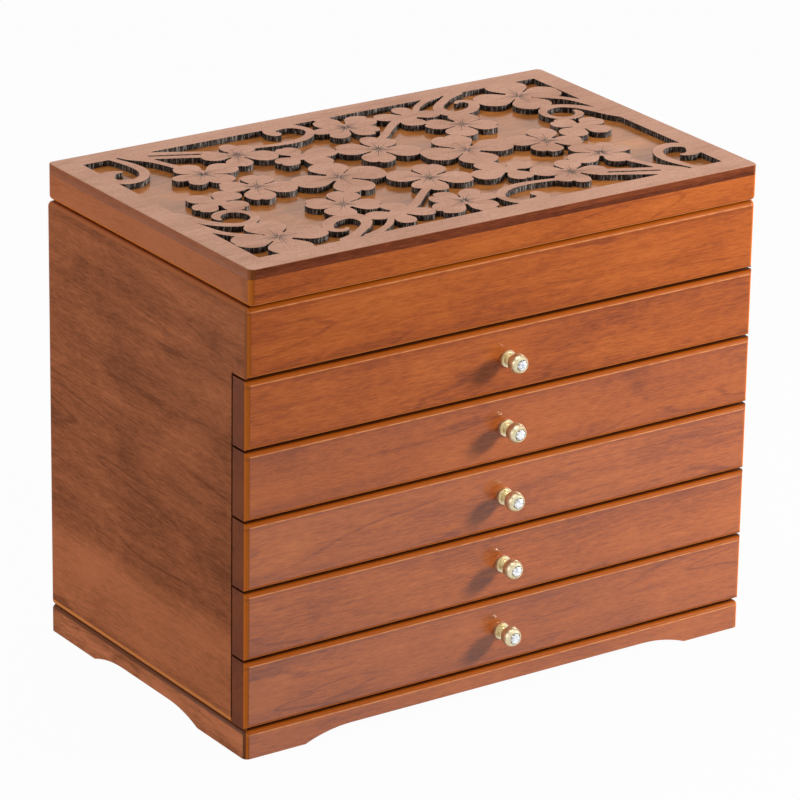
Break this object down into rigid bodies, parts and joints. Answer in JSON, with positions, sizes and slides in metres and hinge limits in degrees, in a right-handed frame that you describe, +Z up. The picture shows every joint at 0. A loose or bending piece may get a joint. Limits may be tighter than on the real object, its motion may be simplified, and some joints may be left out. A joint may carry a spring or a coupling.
{
  "type": "ring box with drawer",
  "caption": "Wooden ring and jewellery box: hinged lid with sawn flower fretwork over a ring tray, a stack of shallow drawers with crystal knobs, and a plinth on bracket feet.",
  "frame": {"origin": "middle of the bottom of the whole object's box, on the surface that the feet stand on", "axes": "+X to the right seen from the front, +Y from the drawer fronts to the back, +Z up"},
  "size_m": [0.3018, 0.2036, 0.2525],
  "materials": {
    "case_wood": "satin stained brown",
    "front_wood": "satin stained red brown",
    "panel_wood": "gloss orange brown",
    "inner_wood": "plain light wood",
    "lining": "velvet",
    "ring_pads": "velvet",
    "brass": "polished pale gold",
    "crystal": "cut and clear",
    "mirror": "silvered"
  },
  "bodies": {
    "cabinet": {"left_side_panel": "case_wood", "right_side_panel": "case_wood", "back_panel": "case_wood", "top_front_rail": "front_wood", "tray_floor": "inner_wood", "tray_lining": "lining", "ring_rolls": "ring_pads", "drawer_runners": "inner_wood", "base_board": "inner_wood", "plinth_front": "front_wood", "plinth_back": "case_wood", "plinth_left": "case_wood", "plinth_right": "case_wood", "hinge_case_leaves": "brass", "hinge_case_screws": "brass"},
    "lid": {"lid_front_rail": "front_wood", "lid_back_rail": "case_wood", "lid_left_rail": "case_wood", "lid_right_rail": "case_wood", "lid_panel": "panel_wood", "lid_fretwork": "case_wood", "mirror": "mirror", "hinge_lid_leaves": "brass", "hinge_pins": "brass", "hinge_lid_screws": "brass"},
    "drawer_1": {"drawer_1_front": "front_wood", "drawer_1_sides": "inner_wood", "drawer_1_back": "inner_wood", "drawer_1_bottom": "inner_wood", "drawer_1_lining": "lining", "drawer_1_knob": "brass", "drawer_1_crystal": "crystal"},
    "drawer_2": {"drawer_2_front": "front_wood", "drawer_2_sides": "inner_wood", "drawer_2_back": "inner_wood", "drawer_2_bottom": "inner_wood", "drawer_2_lining": "lining", "drawer_2_knob": "brass", "drawer_2_crystal": "crystal"},
    "drawer_3": {"drawer_3_front": "front_wood", "drawer_3_sides": "inner_wood", "drawer_3_back": "inner_wood", "drawer_3_bottom": "inner_wood", "drawer_3_lining": "lining", "drawer_3_knob": "brass", "drawer_3_crystal": "crystal"},
    "drawer_4": {"drawer_4_front": "front_wood", "drawer_4_sides": "inner_wood", "drawer_4_back": "inner_wood", "drawer_4_bottom": "inner_wood", "drawer_4_lining": "lining", "drawer_4_knob": "brass", "drawer_4_crystal": "crystal"},
    "drawer_5": {"drawer_5_front": "front_wood", "drawer_5_sides": "inner_wood", "drawer_5_back": "inner_wood", "drawer_5_bottom": "inner_wood", "drawer_5_lining": "lining", "drawer_5_knob": "brass", "drawer_5_crystal": "crystal"}
  },
  "joints": [
    {"name": "lid_hinge", "type": "hinge", "parent": "cabinet", "child": "lid", "pos_m": [0, 0.0998, 0.23315], "axis": [-1, 0, 0], "range_deg": [0, 95]},
    {"name": "drawer_1_slide", "type": "slide", "parent": "cabinet", "child": "drawer_1", "axis": [0, -1, 0], "range_m": [0, 0.115]},
    {"name": "drawer_2_slide", "type": "slide", "parent": "cabinet", "child": "drawer_2", "axis": [0, -1, 0], "range_m": [0, 0.115]},
    {"name": "drawer_3_slide", "type": "slide", "parent": "cabinet", "child": "drawer_3", "axis": [0, -1, 0], "range_m": [0, 0.115]},
    {"name": "drawer_4_slide", "type": "slide", "parent": "cabinet", "child": "drawer_4", "axis": [0, -1, 0], "range_m": [0, 0.115]},
    {"name": "drawer_5_slide", "type": "slide", "parent": "cabinet", "child": "drawer_5", "axis": [0, -1, 0], "range_m": [0, 0.115]}
  ]
}
